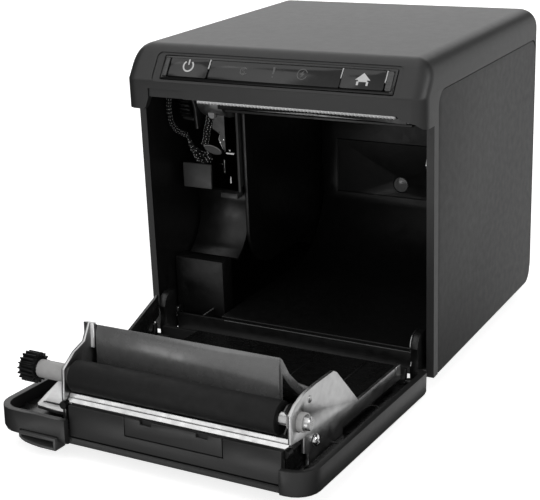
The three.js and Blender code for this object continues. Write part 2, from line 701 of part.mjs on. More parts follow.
function doorLiner() {
  const floor = { bottom: DOOR_FLOOR + 1.4, top: DOOR_FLOOR + 2.6 };
  const reach = HALF - DOOR.wall - GAP;
  const skin = 1.3;
  const { left, right, y } = PLATEAU;
  const section = outline([
    [-reach, floor.bottom],
    [left + skin, floor.bottom],
    [left + skin, y - skin],
    [right - skin, y - skin],
    [right - skin, floor.bottom],
    [reach, floor.bottom],
    [reach, floor.top],
    [right, floor.top],
    [right, y],
    [left, y],
    [left, floor.top],
    [-reach, floor.top],
  ]);
  const low = 9.6;
  const hat = prism("z", section, [low, PLATEAU.top]);
  const endWall = box([left + 0.2, right - 0.2], [floor.bottom, y - 0.2], [low, low + skin]);
  const wing = prism(
    "x",
    outline([
      [floor.bottom, 5.7],
      [0.2, 5.7],
      [2.6, 1.4],
      [11.6, 1.4],
      [-2.3, 35],
      [floor.bottom, 35],
    ]),
    [-WING.outer, -WING.inner],
  );
  const ribs = [21, 41].map((x) => box([x, x + 0.9], [y - 0.2, y + 0.5], [low + 2, 52]));
  const corner = [-1, 1].map((side) => box(
    side < 0 ? [-reach - 1, -54] : [54, reach + 1],
    [-20, 2],
    [94, 120],
  ));
  const armSlots = [LEFT_ARM_X, RIGHT_ARM_X].map((x) =>
    box([x - 0.4, x + ARM_THICKNESS + 0.4], [-20, y + 4], [6, 120]),
  );
  const leverRoom = box([LEVER.left - 1, LEVER.right + 0.4], [-20, 1.9], [94, 120]);
  const body = cut(join(hat, endWall), ...corner, leverRoom);
  const bridges = box([-40, 58], [floor.bottom, floor.top], [low, low + 8]);
  const slotted = join(cut(body, ...armSlots), cut(bridges, box([-100, 100], [-20, 20], [60, 200])));
  return join(slotted, wing, ...ribs);
}

function exitLip() {
  const width = [EXIT_STEP.left + GAP, EXIT_STEP.right - GAP];
  const lip = box(width, [DOOR_FLOOR + GAP, 4.8], [98, EXIT_STEP.z - 0.2]);
  const seat = box([-8.5, 30.5], [-2.2, 6], [EXIT_STEP.z - 1.2, 110]);
  return cut(lip, seat);
}

function exitInsert() {
  const plate = box([-8.2, 30.2], [-1.9, 4.8], [EXIT_STEP.z - 0.9, EXIT_STEP.z - 0.2]);
  const notches = [-1.8, 20.3].map((x) => box([x, x + 4.3], [3.3, 6], [90, 110]));
  return cut(plate, ...notches);
}

const rightArmOutline = [
  [-2.8, 9], [3.2, 9.6], [3.1, 47.2], [19.7, 64.6], [21, 67], [21.2, 80], [20.8, 88],
  [19.1, 94.8], [16.5, 98], [6.7, 98], [5.7, 89], [0, 89], [-1.1, 86], [-2.4, 60],
];
const leftArmOutline = [
  [-2.8, 56], [3, 52], [19, 66], [27.4, 78], [28.4, 80.6], [22.4, 84], [20.4, 90],
  [16, 96.6], [6, 97.4], [-2.8, 97],
];

function platenBracket() {
  const width = [LEFT_ARM_X, RIGHT_ARM_X + ARM_THICKNESS];
  const web = box(width, [DOOR_FLOOR + GAP, DOOR_FLOOR + 1.1], [60, 93]);
  const centre = [PLATEN.y, PLATEN.z];
  const arm = (points, x) => {
    const foot = box([x, x + ARM_THICKNESS], [DOOR_FLOOR + GAP, -0.8], [60, 86]);
    const plate = prism("x", outline(points), [x, x + ARM_THICKNESS]);
    return cut(join(plate, foot), rod("x", centre, BUSH.outer + GAP, [x - 1, x + 3]));
  };
  const ear = outline([
    [LEFT_ARM_X + 0.5, 97], [-40, 97], [-48.6, 96], [-50, 94.4], [-56, 75], [-53, 70],
    [LEFT_ARM_X + 0.5, 66],
  ]);
  const slot = roundedRectangle([-49, -41], [91.6, 93], [0.6, 0.6, 0.6, 0.6]);
  const flange = cut(prism("y", ear, [-1.2, 0]), prism("y", slot, [-5, 5]));
  const backFlange = box([LEFT_ARM_X - 1.6, -33.8], [19, 28.2], [79.2, 80.4]);
  return join(arm(leftArmOutline, LEFT_ARM_X), arm(rightArmOutline, RIGHT_ARM_X), web, flange, backFlange);
}

function paperGuide() {
  const shape = new THREE.Shape();
  const floor = PLATEAU.y + GAP;
  shape.moveTo(floor, 80.4);
  shape.lineTo(25.3, 80.4);
  shape.lineTo(27.6, 79.2);
  shape.lineTo(26.6, 77.8);
  shape.quadraticCurveTo(15, 71, 10, 59);
  shape.lineTo(floor, 54);
  shape.lineTo(floor, 57);
  shape.quadraticCurveTo(12, 71, 20.4, 77.6);
  shape.lineTo(floor, 77.6);
  return prism("x", shape, [-33.2, 41]);
}

function fixedBlade() {
  const section = outline([[3.8, 92.6], [6.2, 93.2], [6.2, 94.2], [4.7, 96.6], [3.6, 96.4], [3.6, 94]]);
  return prism("x", section, [-35.1, 52.4]);
}

// A finger scoop under the door's top edge, on two stub pins held by the shell.
function coverLever() {
  const { left, right, front, back, bottom, top, wall } = LEVER;
  const scoopFace = (inset) => {
    const shape = new THREE.Shape();
    shape.moveTo(left + inset, back - inset);
    shape.lineTo(left + inset, front + 2.4);
    shape.quadraticCurveTo(left + 1 + inset, front + 0.9 + inset, left + 5, front + 0.4 + inset);
    shape.lineTo(right - 7, front + inset);
    shape.lineTo(right - inset, front + inset);
    shape.lineTo(right - inset, back - inset);
    return shape;
  };
  const block = prism("z", scoopFace(0), [bottom, top]);
  const hollow = prism("z", scoopFace(wall), [bottom + 1.4, top + 1]);
  const { y, z, radius, length } = LEVER_PIN;
  const leftPin = rod("x", [y, z], radius, [left - length, left + 0.5], 12);
  const rightPin = rod("x", [y, z], radius, [right - 0.5, right + length], 12);
  return join(cut(block, hollow), leftPin, rightPin);
}

const ARM_SCREW = { y: 1.6, z: 81.2, radius: 2.2 };

function armScrew() {
  const { y, z, radius } = ARM_SCREW;
  const x = RIGHT_ARM_X + ARM_THICKNESS + GAP;
  const head = rod("x", [y, z], radius, [x, x + 1.4], 20);
  const slot = box([x + 0.8, x + 3], [y - 0.35, y + 0.35], [z - 3, z + 3]);
  return cut(head, slot);
}

function door() {
  piece("door_shell", doorShell(), DOOR_BLACK, closedDoor);
  piece("door_liner", doorLiner(), INNER_BLACK, closedDoor);
  piece("exit_lip", exitLip(), DOOR_BLACK, closedDoor);
  piece("exit_insert", exitInsert(), DOOR_BLACK, closedDoor);
  piece("platen_bracket", platenBracket(), STEEL, closedDoor);
  piece("paper_guide", paperGuide(), GLOSS_BLACK, closedDoor);
  piece("fixed_blade", fixedBlade(), STEEL, closedDoor);
  piece("cover_lever", coverLever(), LEVER_GREY, closedDoor);
  piece("arm_screw_right", armScrew(), STEEL, closedDoor);
}

// ---------- Platen ----------
// The left bush is a long sleeve that reaches the gear; the right one is a short tube through the arm.
function bush(x, side) {
  const reach = side < 0 ? [x - BUSH.sleeve, x + 1.9] : [x - 2.4, x + 3.2];
  const collar = side < 0 ? [x - 1.3, x - GAP] : [x - 1.5, x - GAP];
  const centre = [PLATEN.y, PLATEN.z];
  const tubeBody = ring("x", centre, BUSH.outer, BUSH.bore, reach);
  return join(tubeBody, ring("x", centre, BUSH.outer + 0.9, BUSH.bore, collar));
}

function platen() {
  const centre = [PLATEN.y, PLATEN.z];
  piece("platen_shaft", rod("x", centre, PLATEN.shaft, [GEAR_LEFT - 0.3, 56.9]), STEEL, closedDoor);
  const rubber = ring("x", centre, PLATEN.radius, PLATEN.shaft + GAP, [PLATEN.left, PLATEN.right], 32);
  piece("platen_rubber", rubber, RUBBER, closedDoor);
  const gear = spurGear(PLATEN_TEETH, 0, PLATEN.shaft + GAP, [GEAR_LEFT, GEAR_LEFT + GEAR_WIDTH]);
  piece("platen_gear", gear, GEAR_BLACK, closedDoor, [0, ...centre]);
  piece("bush_left", bush(LEFT_ARM_X, -1), BUSH_GREY, closedDoor);
  piece("bush_right", bush(RIGHT_ARM_X, 1), BUSH_GREY, closedDoor);
}

casing();
controls();
mechanism();
feedDrive();
inside();
hinges();
door();
platen();

// The origin is the middle of the underside of the box round the whole printer, with its door open.
printer.updateMatrixWorld(true);
const bounds = new THREE.Box3().setFromObject(printer, true);
printer.position.set(-(bounds.min.x + bounds.max.x) / 2, -(bounds.min.y + bounds.max.y) / 2, -bounds.min.z);

export default printer;
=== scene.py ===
"""Looks of the receipt printer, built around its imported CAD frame.

The frame is in metres, +Z up, front towards -Y. Shapes here are drawn in millimetres in one of three places:
BODY (x = 0 the casing's middle, y = 0 the side walls' front edges, z = 0 the table), DOOR (the same, as if the
door were closed) and PANEL (x across, y into the casing, z up the sloping control panel).
"""

import math
import random

import bmesh
import bpy
from mathutils import Matrix, Vector


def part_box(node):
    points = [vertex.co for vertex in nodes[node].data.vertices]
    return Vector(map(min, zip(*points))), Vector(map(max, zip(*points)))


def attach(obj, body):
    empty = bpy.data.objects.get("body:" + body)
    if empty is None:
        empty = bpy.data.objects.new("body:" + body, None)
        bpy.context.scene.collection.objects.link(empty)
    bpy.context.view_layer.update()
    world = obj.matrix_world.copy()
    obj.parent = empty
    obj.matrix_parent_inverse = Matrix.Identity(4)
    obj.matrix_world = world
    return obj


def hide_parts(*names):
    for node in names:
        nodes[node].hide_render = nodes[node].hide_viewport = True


MM = 0.001
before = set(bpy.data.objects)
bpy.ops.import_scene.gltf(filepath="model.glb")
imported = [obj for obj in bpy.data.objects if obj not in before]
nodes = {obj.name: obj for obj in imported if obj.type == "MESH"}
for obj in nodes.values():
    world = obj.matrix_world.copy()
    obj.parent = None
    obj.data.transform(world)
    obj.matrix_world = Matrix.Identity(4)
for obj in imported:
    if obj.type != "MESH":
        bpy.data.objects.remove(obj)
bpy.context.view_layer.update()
random.seed(7)

# ---------- Driving dimensions, millimetres ----------
HALF = 63.5
BACK = 123.0
TOP = 128.0
FOOT = 5.0
WALL = 3.0
INSIDE = HALF - WALL
CEILING = TOP - WALL
TOP_RADIUS = 8.0
REAR_RADIUS = 5.0
HEEL_RADIUS = 9.0
HEADER_FRONT = -9.7
HEADER_BOTTOM = 103.5
HEADER_WALL = 2.6
HEADER_RADIUS = 5.5
MOUTH_TOP = 108.5
SLOPE_Z = 115.0
SLOPE = math.radians(35)
SLOPE_TOP_Z = 124.8
CREST = HEADER_FRONT + (TOP - SLOPE_Z) * math.tan(SLOPE)
PANEL_LEFT, PANEL_RIGHT = -47.4, 51.4
PANEL_LOW, PANEL_HIGH = 1.0, 11.5
HINGE_Y, HINGE_Z = -6.5, 4.0
OPEN_ANGLE = math.radians(87.13)
DOOR_FLOOR = -7.3
LINER_TOP = DOOR_FLOOR + 2.6
ROLLER_Y, ROLLER_Z = 12.3, 91.5
RIGHT_ARM_OUTER = 54.6

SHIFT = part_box("top_cover")[1].y / MM - BACK
BODY = Matrix.Scale(MM, 4) @ Matrix.Translation((0, SHIFT, 0))
HINGE = Vector((0, HINGE_Y, HINGE_Z))
DOOR = BODY @ Matrix.Translation(HINGE) @ Matrix.Rotation(OPEN_ANGLE, 4, "X") @ Matrix.Translation(-HINGE)
PANEL = BODY @ Matrix.Translation((0, HEADER_FRONT, SLOPE_Z)) @ Matrix.Rotation(-SLOPE, 4, "X")


# ---------- Materials ----------
def add(tree, kind, **values):
    made = tree.nodes.new(kind)
    for name, value in values.items():
        setattr(made, name, value)
    return made


def noise(tree, scale, detail=2.0, stretch=(1, 1, 1)):
    """A noise in the object's own metres, stretched along an axis where its factor is below 1."""
    place = add(tree, "ShaderNodeTexCoord")
    mapping = add(tree, "ShaderNodeMapping")
    mapping.inputs["Scale"].default_value = stretch
    made = add(tree, "ShaderNodeTexNoise")
    made.inputs["Scale"].default_value = scale
    made.inputs["Detail"].default_value = detail
    tree.links.new(place.outputs["Object"], mapping.inputs["Vector"])
    tree.links.new(mapping.outputs["Vector"], made.inputs["Vector"])
    return made.outputs["Fac"]


def dots(tree, scale):
    """Raised round dots on a loose grid."""
    place = add(tree, "ShaderNodeTexCoord")
    cells = add(tree, "ShaderNodeTexVoronoi")
    cells.inputs["Scale"].default_value = scale
    cells.inputs["Randomness"].default_value = 0.25
    tree.links.new(place.outputs["Object"], cells.inputs["Vector"])
    return spread(tree, cells.outputs["Distance"], (0.1, 0.5), (1, 0))


def spread(tree, value, source, target):
    made = add(tree, "ShaderNodeMapRange")
    ends = (*source, *target)
    for name, end in zip(("From Min", "From Max", "To Min", "To Max"), ends):
        made.inputs[name].default_value = end
    tree.links.new(value, made.inputs["Value"])
    return made.outputs["Result"]


def tint(tree, value, dark, light):
    ramp = add(tree, "ShaderNodeValToRGB")
    ramp.color_ramp.elements[0].position = 0.3
    ramp.color_ramp.elements[0].color = (*dark, 1)
    ramp.color_ramp.elements[1].position = 0.7
    ramp.color_ramp.elements[1].color = (*light, 1)
    tree.links.new(value, ramp.inputs["Fac"])
    return ramp.outputs["Color"]


def bump(tree, value, height, under=None):
    made = add(tree, "ShaderNodeBump")
    made.inputs["Distance"].default_value = height * MM
    tree.links.new(value, made.inputs["Height"])
    if under is not None:
        tree.links.new(under, made.inputs["Normal"])
    return made.outputs["Normal"]


def surface(name, grey, roughness, metallic=0.0, grain=(2200, 0.03), cloud=0.12, gloss_cloud=0.08,
            warm=1.0, brushed=None, dotted=None, coat=0.0, specular=0.5):
    """A moulded or metal surface: cloudy colour and gloss, with fine grain in its relief."""
    material = bpy.data.materials.new(name)
    material.use_nodes = True
    tree = material.node_tree
    shader = tree.nodes["Principled BSDF"]
    shader.inputs["Metallic"].default_value = metallic
    shader.inputs["Coat Weight"].default_value = coat
    shader.inputs["Coat Roughness"].default_value = 0.05
    shader.inputs["Specular IOR Level"].default_value = specular
    clouds = noise(tree, 420, 5)
    base = (grey * warm, grey, grey / warm)
    dark = [channel * (1 - cloud) for channel in base]
    light = [channel * (1 + cloud) for channel in base]
    tree.links.new(tint(tree, clouds, dark, light), shader.inputs["Base Color"])
    patches = noise(tree, 300, 4)
    ends = (max(roughness - gloss_cloud, 0.02), min(roughness + gloss_cloud, 1))
    tree.links.new(spread(tree, patches, (0.3, 0.7), ends), shader.inputs["Roughness"])
    scale, height = grain
    normal = bump(tree, noise(tree, scale, 2), height)
    if brushed:
        normal = bump(tree, noise(tree, 900, 2, brushed), 0.02, normal)
    if dotted:
        normal = bump(tree, dots(tree, dotted), 0.12, normal)
    tree.links.new(normal, shader.inputs["Normal"])
    return material


CASE = surface("case_plastic", 0.022, 0.44, grain=(1700, 0.02), cloud=0.03, gloss_cloud=0.015)
SIDE = surface("side_plastic", 0.02, 0.52, grain=(1700, 0.03), cloud=0.06, gloss_cloud=0.04)
DOOR_SKIN = surface("door_plastic", 0.014, 0.4, grain=(2400, 0.02), cloud=0.06, gloss_cloud=0.03)
# Black plastic of the inner parts, kept darker than the outer plastic as painted shade in the hollow.
INNER_AND_SHADE = surface("inner_black_and_painted_shade", 0.006, 0.38, grain=(2600, 0.02), cloud=0.2)
LINER = surface("liner_plastic", 0.006, 0.28, grain=(2600, 0.015), cloud=0.2)
GLOSS = surface("gloss_plastic", 0.006, 0.12, grain=(900, 0.002), cloud=0.1, gloss_cloud=0.04)
GUIDE = surface("guide_plastic", 0.12, 0.26, specular=1.0, grain=(2400, 0.01), cloud=0.08, brushed=(0.02, 1, 1))
CAP = surface("cap_plastic", 0.07, 0.5, cloud=0.1, dotted=1500)
GREY = surface("grey_plastic", 0.05, 0.45, cloud=0.1)
# Light grey for the painted highlights along the sill and along the floor rib's top edge.
PAINTED_EDGE_GLINT = surface("painted_edge_highlight", 0.16, 0.3, cloud=0.2)
LIGHT_GREY = surface("light_grey_plastic", 0.35, 0.5, cloud=0.08)
LEVER_SKIN = surface("lever_plastic", 0.055, 0.4, cloud=0.12)
RUBBER = surface("roller_rubber", 0.008, 0.62, specular=0.3, grain=(3000, 0.05), cloud=0.15, brushed=(0.03, 1, 1))
FOOT_RUBBER = surface("foot_rubber", 0.02, 0.85, grain=(1500, 0.15), cloud=0.2)
GEAR = surface("gear_plastic", 0.004, 0.4, cloud=0.15, specular=0.18)
ACETAL = surface("acetal", 0.42, 0.42, warm=1.01, cloud=0.06)
PLATE = surface("zinc_plate", 0.55, 0.34, 1.0, grain=(1400, 0.02), cloud=0.06, gloss_cloud=0.06,
                brushed=(1, 0.03, 1))
STRIP = surface("strip_steel", 0.72, 0.3, 1.0, grain=(2000, 0.01), cloud=0.05, brushed=(0.02, 1, 1))
DARK_METAL = surface("ground_steel", 0.2, 0.4, 0.9, cloud=0.1)
STEEL = surface("turned_steel", 0.6, 0.25, 1.0, grain=(2500, 0.01), cloud=0.08, brushed=(1, 0.05, 0.05))
SHINY = surface("bright_clip", 0.85, 0.16, 1.0, grain=(2500, 0.003), cloud=0.04, gloss_cloud=0.05)
DARK_STEEL = surface("dark_steel", 0.08, 0.35, 0.9, cloud=0.2)
ALUMINIUM = surface("aluminium", 0.5, 0.38, 1.0, brushed=(0.04, 1, 1))
BOARD = surface("solder_mask", 0.03, 0.35, cloud=0.25)
WIRE = surface("wire_sleeve", 0.004, 0.5, cloud=0.3, specular=0.15)
# Light thread colour of the braids, also used for painted speckle highlights on the wires.
THREAD_AND_GLINT = surface("braid_thread_and_painted_glint", 0.75, 0.3, cloud=0.3)
SENSOR_LENS = surface("lens_plastic", 0.22, 0.12, cloud=0.1, coat=0.6)
# Light grey print for the key icons; the same colour paints the highlights at the key ends.
PRINT_AND_GLINT = surface("icon_print_and_painted_glint", 0.62, 0.55, cloud=0.04)
FAINT = surface("faint_icon_print", 0.1, 0.5, cloud=0.06)

CAD_LOOKS = {
    SIDE: ("side_panel_left", "side_panel_right", "rear_cover"),
    DOOR_SKIN: ("door_shell", "exit_lip", "exit_insert"),
    INNER_AND_SHADE: ("base_plate", "thermal_head", "roll_bucket", "roll_partition", "drive_cover", "gear_cover_box",
            "hinge_arm_left", "hinge_arm_right"),
    LINER: ("door_liner",),
    GLOSS: ("control_bezel", "indicator_window", "power_button", "feed_button", "usb_port", "lan_port",
            "power_inlet"),
    GUIDE: ("paper_guide",),
    CAP: ("end_cap_left", "end_cap_right"),
    GREY: ("head_bracket", "latch_plate"),
    RUBBER: ("platen_rubber",),
    FOOT_RUBBER: ("foot_front_left", "foot_front_right", "foot_rear_left", "foot_rear_right"),
    LEVER_SKIN: ("cover_lever",),
    GEAR: ("idler_gear", "platen_gear", "cutter_housing"),
    ACETAL: ("bush_left", "bush_right"),
    PLATE: ("platen_bracket",),
    DARK_STEEL: ("mechanism_frame", "gear_side_plate", "cutter_blade"),
    STRIP: ("fixed_blade", "tear_bar"),
    STEEL: ("head_spring_left", "head_spring_right", "motor_pinion", "latch_spring_right", "hinge_pin_left",
            "hinge_pin_right", "arm_screw_right", "platen_shaft"),
    DARK_METAL: ("head_heat_sink",),
    ALUMINIUM: ("cutter_motor", "feed_motor"),
    BOARD: ("control_board", "main_board"),
    SENSOR_LENS: ("paper_sensor",),
}
# How far each CAD node's sharp edges are rounded, where it isn't the usual amount, millimetres.
EDGE = 0.3
EDGES = {"platen_gear": 0.12, "idler_gear": 0.12, "motor_pinion": 0.08, "door_shell": 0.5, "platen_bracket": 0.25,
         "paper_guide": 0.35, "tear_bar": 0.1, "indicator_window": 0.18, "power_button": 0.25, "feed_button": 0.25,
         "side_panel_left": 0.35, "side_panel_right": 0.35, "head_spring_left": 0, "head_spring_right": 0}


# ---------- Outlines ----------
def arc(centre, radius, start, end, steps=8):
    """Points on an arc, with its angles in degrees."""
    points = []
    for i in range(steps + 1):
        angle = math.radians(start + (end - start) * i / steps)
        points.append((centre[0] + radius * math.cos(angle), centre[1] + radius * math.sin(angle)))
    return points


def rectangle(across, up, radius=0.0, steps=6):
    left, right = across
    low, high = up
    if radius <= 0:
        return [(left, low), (right, low), (right, high), (left, high)]
    points = []
    corners = ((right, low, 270), (right, high, 0), (left, high, 90), (left, low, 180))
    for x, z, start in corners:
        centre = (x - math.copysign(radius, x - (left + right) / 2), z - math.copysign(radius, z - (low + high) / 2))
        points += arc(centre, radius, start, start + 90, steps)
    return points


def smooth_path(points, steps=8):
    """A Catmull-Rom curve through the points."""
    knots = [Vector(p) for p in points]
    knots = [2 * knots[0] - knots[1], *knots, 2 * knots[-1] - knots[-2]]
    path = []
    for a, b, c, d in zip(knots, knots[1:], knots[2:], knots[3:]):
        for i in range(steps):
            t = i / steps
            path.append(0.5 * (2 * b + (c - a) * t + (2 * a - 5 * b + 4 * c - d) * t**2
                               + (3 * b - a - 3 * c + d) * t**3))
    return path + [knots[-2]]


def circle(centre, across, up, radius, sides):
    """Points round a circle that lies in the plane of two unit vectors."""
    turns = [2 * math.pi * k / sides for k in range(sides)]
    return [centre + radius * (across * math.cos(turn) + up * math.sin(turn)) for turn in turns]


# ---------- Meshes ----------
class Form:
    """A mesh being put together, in millimetres."""

    AXES = {"x": lambda u, v, w: (w, u, v), "y": lambda u, v, w: (u, w, v), "z": lambda u, v, w: (u, v, w)}

    def __init__(self):
        self.mesh = bmesh.new()

    def rings(self, loops):
        """Skins a list of equal loops of points, and closes both ends."""
        made = [[self.mesh.verts.new(p) for p in loop] for loop in loops]
        for low, high in zip(made, made[1:]):
            for i in range(len(low)):
                j = (i + 1) % len(low)
                self.mesh.faces.new((low[i], low[j], high[j], high[i]))
        self.mesh.faces.new(made[0][::-1])
        self.mesh.faces.new(made[-1])
        return self

    def prism(self, axis, outline, span):
        turn = self.AXES[axis]
        return self.rings([[turn(u, v, w) for u, v in outline] for w in span])

    def box(self, x, y, z):
        return self.prism("z", rectangle(x, y), z)

    def lathe(self, axis, centre, profile, sides=32):
        """Turns (place along the axis, radius) points about an axis through `centre`."""
        turn = self.AXES[axis]
        loops = []
        for along, radius in profile:
            ring = arc(centre, radius, 0, 360 * (1 - 1 / sides), sides - 1)
            loops.append([turn(u, v, along) for u, v in ring])
        return self.rings(loops)

    def rod(self, axis, centre, radius, span, sides=32):
        return self.lathe(axis, centre, [(span[0], radius), (span[1], radius)], sides)

    def tube(self, points, radius, sides=10):
        """A round bar along a path."""
        path = [Vector(p) for p in points]
        across = None
        loops = []
        for i, point in enumerate(path):
            ahead = (path[min(i + 1, len(path) - 1)] - path[max(i - 1, 0)]).normalized()
            if across is None:
                across = ahead.orthogonal().normalized()
            across = (across - ahead * across.dot(ahead)).normalized()
            up = ahead.cross(across)
            loops.append(circle(point, across, up, radius, sides))
        return self.rings(loops)

    def dome(self, centre, radius, ahead=(0, -1, 0), flat=0.6, sides=16):
        """A rivet or screw head that stands out along `ahead`."""
        out = Vector(ahead).normalized()
        across = out.orthogonal().normalized()
        up = out.cross(across)
        loops = []
        for angle in (0, 20, 40, 60, 80):
            ring = radius * math.cos(math.radians(angle))
            rise = radius * flat * math.sin(math.radians(angle))
            loops.append(circle(Vector(centre) + out * rise, across, up, ring, sides))
        return self.rings(loops)

    def object(self, name, place):
        bmesh.ops.recalc_face_normals(self.mesh, faces=self.mesh.faces)
        mesh = bpy.data.meshes.new(name)
        self.mesh.to_mesh(mesh)
        self.mesh.free()
        mesh.transform(place)
        made = bpy.data.objects.new(name, mesh)
        bpy.context.collection.objects.link(made)
        return made


SHARP = math.radians(32)


def soften(made, edge):
    """Rounds sharp edges and smooths the shading."""
    made.data.shade_smooth()
    if edge > 0:
        bevel = made.modifiers.new("edges", "BEVEL")
        bevel.width = edge * MM
        bevel.segments = 2
        bevel.limit_method = "ANGLE"
        bevel.angle_limit = SHARP
        bevel.harden_normals = True
    else:
        made.data.set_sharp_from_angle(angle=SHARP)


def piece(name, form, material, place=BODY, body="case", edge=0.15, replaces=()):
    made = form.object(name, place)
    made.data.materials.append(material)
    soften(made, edge)
    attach(made, body)
    if replaces:
        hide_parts(*replaces)
    return made


def carve(made, tools):
    """Cuts each tool out of an object, for good."""
    for tool in tools:
        cut = made.modifiers.new("cut", "BOOLEAN")
        cut.object = tool
        cut.operation = "DIFFERENCE"
        cut.solver = "EXACT"
    view = bpy.context.evaluated_depsgraph_get()
    mesh = bpy.data.meshes.new_from_object(made.evaluated_get(view), depsgraph=view)
    made.modifiers.clear()
    made.data = mesh
    for tool in tools:
        bpy.data.objects.remove(tool)


def dress_cad():
    for material, names in CAD_LOOKS.items():
        for name in names:
            node = nodes[name]
            node.data.materials.clear()
            node.data.materials.append(material)
            weld = node.modifiers.new("weld", "WELD")
            weld.merge_threshold = 0.002 * MM
            soften(node, EDGES.get(name, EDGE))


# ---------- Casing ----------
def side_inset(z):
    rise = max(z - (TOP - TOP_RADIUS), 0)
    return TOP_RADIUS - math.sqrt(TOP_RADIUS**2 - rise**2)


def back_at(z):
    rise = max(z - (TOP - REAR_RADIUS), 0)
    drop = max(FOOT + HEEL_RADIUS - z, 0)
    top_inset = REAR_RADIUS - math.sqrt(REAR_RADIUS**2 - rise**2)
    heel_inset = HEEL_RADIUS - math.sqrt(HEEL_RADIUS**2 - drop**2)
    return BACK - top_inset - heel_inset


def front_at(z):
    """The header's front: upright, then the slope, then a round crest into the top."""
    if z <= SLOPE_Z:
        return HEADER_FRONT
    if z <= SLOPE_TOP_Z:
        return HEADER_FRONT + (z - SLOPE_Z) * math.tan(SLOPE)
    start = HEADER_FRONT + (SLOPE_TOP_Z - SLOPE_Z) * math.tan(SLOPE)
    share = 1 - math.sqrt(max(1 - (z - SLOPE_TOP_Z) / (TOP - SLOPE_TOP_Z), 0))
    return (1 - share)**2 * start + 2 * share * (1 - share) * CREST + share**2 * (CREST + 3.5)


def casing_loop(z):
    inset = side_inset(z)
    front, back = front_at(z), back_at(z)
    radius = max(HEADER_RADIUS - 0.62 * inset, 0.5)
    return [(x, y, z) for x, y in rectangle((-HALF + inset, HALF - inset), (front, back), radius, 10)]


def casing_levels():
    levels = [FOOT + HEEL_RADIUS * (1 - math.cos(math.radians(a))) for a in range(0, 90, 9)]
    levels += [FOOT + HEEL_RADIUS, 60, 100, SLOPE_Z - 0.6, SLOPE_Z - 0.2, SLOPE_Z + 0.2, SLOPE_Z + 0.6, 118]
    levels += [TOP - TOP_RADIUS * (1 - math.sin(math.radians(a))) for a in range(0, 91, 6)]
    levels += [SLOPE_TOP_Z]
    return sorted(set(round(level, 4) for level in levels))


def inner_profile():
    lean = HEADER_WALL / math.cos(SLOPE)
    knee = SLOPE_Z - (lean - HEADER_WALL) / math.tan(SLOPE)
    end = HEADER_FRONT + lean + (CEILING - SLOPE_Z) * math.tan(SLOPE)
    front = HEADER_FRONT + HEADER_WALL
    return [(front, -1), (BACK + 10, -1), (BACK + 10, CEILING), (end, CEILING), (front, knee)]


def mouth_outline():
    return [
        (-HALF - 1, 0), (HALF + 1, 0), (HALF + 1, HEADER_BOTTOM), (HALF - 1.2, HEADER_BOTTOM + 0.6),
        (HALF - 3.5, HEADER_BOTTOM + 2.4), (HALF - 7, HEADER_BOTTOM + 3.2), (HALF - 9.3, MOUTH_TOP - 1),
        (HALF - 10.5, MOUTH_TOP), (-HALF + 11.2, MOUTH_TOP), (-HALF + 9.6, HEADER_BOTTOM + 1),
        (-HALF + 8.6, HEADER_BOTTOM), (-HALF - 1, HEADER_BOTTOM),
    ]


def side_recess(side):
    span = sorted((side * (HALF - 1.9), side * (HALF + 1)))
    outline = rectangle((4.2, BACK - 4.2), (-10, 115.6), 6, 8)
    return Form().prism("x", outline, span).object("tool", BODY)


def is_inside(face, middle):
    """Whether a face of the casing looks into its hollow, and not out of it."""
    place = BODY.inverted() @ face.center
    within = abs(place.x) < INSIDE + 0.1 and place.z < CEILING + 0.1 and place.y > HEADER_FRONT + HEADER_WALL - 0.1
    return within and face.normal.dot(middle - face.center) > 0


def make_casing():
    shell = Form().rings([casing_loop(z) for z in casing_levels()]).object("casing_shell", BODY)
    panel_cut = rectangle((PANEL_LEFT, PANEL_RIGHT), (PANEL_LOW, PANEL_HIGH), 0.8)
    dish = rectangle((PANEL_LEFT - 3.4, PANEL_RIGHT + 2), (PANEL_LOW - 1.1, PANEL_HIGH + 1), 2.2)
    opening = rectangle((PANEL_LEFT + 1.1, PANEL_RIGHT - 1.1), (PANEL_LOW + 1.1, PANEL_HIGH - 1.1))
    lever_notch = rectangle((-52.5, -36.2), (90, 111.9))
    tools = [
        Form().prism("x", inner_profile(), (-INSIDE, INSIDE)).object("tool", BODY),
        Form().prism("y", mouth_outline(), (HEADER_FRONT - 1, 0)).object("tool", BODY),
        Form().prism("y", dish, (-3, 0.4)).object("tool", PANEL),
        Form().prism("y", panel_cut, (-2, 1.1)).object("tool", PANEL),
        Form().prism("y", opening, (0, 6)).object("tool", PANEL),
        Form().prism("y", lever_notch, (HEADER_FRONT - 1, -8.9)).object("tool", BODY),
        side_recess(-1),
        side_recess(1),
    ]
    carve(shell, tools)
    shell.data.materials.clear()
    shell.data.materials.append(CASE)
    shell.data.materials.append(INNER_AND_SHADE)
    middle = BODY @ Vector((0, 60, 60))
    # The casing's inward faces get the darker inner plastic: painted shade inside the same moulding.
    for face in shell.data.polygons:
        if is_inside(face, middle):
            face.material_index = 1
    soften(shell, 0.35)
    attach(shell, "case")
    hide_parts("top_cover")


# ---------- Control panel ----------
KEY_FACE = -0.35
WINDOW_FACE = -0.1


def flat_print(name, form, material, body="case"):
    """A thin printed mark on a key or the window."""
    piece(name, form, material, PANEL, body, edge=0)


